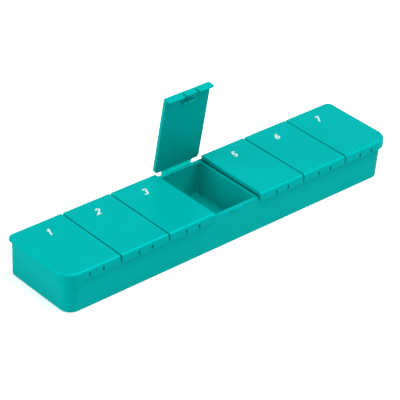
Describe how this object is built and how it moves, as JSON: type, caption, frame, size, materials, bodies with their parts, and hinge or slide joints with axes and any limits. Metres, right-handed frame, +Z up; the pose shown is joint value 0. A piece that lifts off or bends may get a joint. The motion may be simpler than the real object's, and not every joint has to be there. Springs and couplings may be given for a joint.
{
  "type": "weekly pill box",
  "caption": "Long flat tray of compartments in a row, each closed by a flip lid with a front snap tab on a living hinge.",
  "frame": {"origin": "centre of the tray's flat bottom face", "axes": "+X along the row of compartments, -Y towards the snap tabs, +Y towards the hinges, +Z up"},
  "size_m": [0.202, 0.0452, 0.0633],
  "materials": {
    "plastic": "satin moulded",
    "print": "printed"
  },
  "bodies": {
    "tray": {"tray": "plastic", "hinge_1": "plastic", "hinge_2": "plastic", "hinge_3": "plastic", "hinge_4": "plastic", "hinge_5": "plastic", "hinge_6": "plastic", "hinge_7": "plastic"},
    "lid_1": {"lid_1": "plastic", "numeral_1": "print"},
    "lid_2": {"lid_2": "plastic", "numeral_2": "print"},
    "lid_3": {"lid_3": "plastic", "numeral_3": "print"},
    "lid_4": {"lid_4": "plastic", "numeral_4": "print"},
    "lid_5": {"lid_5": "plastic", "numeral_5": "print"},
    "lid_6": {"lid_6": "plastic", "numeral_6": "print"},
    "lid_7": {"lid_7": "plastic", "numeral_7": "print"}
  },
  "joints": [
    {"name": "lid_1_hinge", "type": "hinge", "parent": "tray", "child": "lid_1", "pos_m": [-0.084, 0.02148, 0.0198], "axis": [-1, 0, 0], "range_deg": [0, 180], "deforming": ["hinge_1"]},
    {"name": "lid_2_hinge", "type": "hinge", "parent": "tray", "child": "lid_2", "pos_m": [-0.056, 0.02148, 0.0198], "axis": [-1, 0, 0], "range_deg": [0, 180], "deforming": ["hinge_2"]},
    {"name": "lid_3_hinge", "type": "hinge", "parent": "tray", "child": "lid_3", "pos_m": [-0.028, 0.02148, 0.0198], "axis": [-1, 0, 0], "range_deg": [0, 180], "deforming": ["hinge_3"]},
    {"name": "lid_4_hinge", "type": "hinge", "parent": "tray", "child": "lid_4", "pos_m": [0, 0.02148, 0.0198], "axis": [-1, 0, 0], "range_deg": [-83, 97], "deforming": ["hinge_4"]},
    {"name": "lid_5_hinge", "type": "hinge", "parent": "tray", "child": "lid_5", "pos_m": [0.028, 0.02148, 0.0198], "axis": [-1, 0, 0], "range_deg": [0, 180], "deforming": ["hinge_5"]},
    {"name": "lid_6_hinge", "type": "hinge", "parent": "tray", "child": "lid_6", "pos_m": [0.056, 0.02148, 0.0198], "axis": [-1, 0, 0], "range_deg": [0, 180], "deforming": ["hinge_6"]},
    {"name": "lid_7_hinge", "type": "hinge", "parent": "tray", "child": "lid_7", "pos_m": [0.084, 0.02148, 0.0198], "axis": [-1, 0, 0], "range_deg": [0, 180], "deforming": ["hinge_7"]}
  ]
}
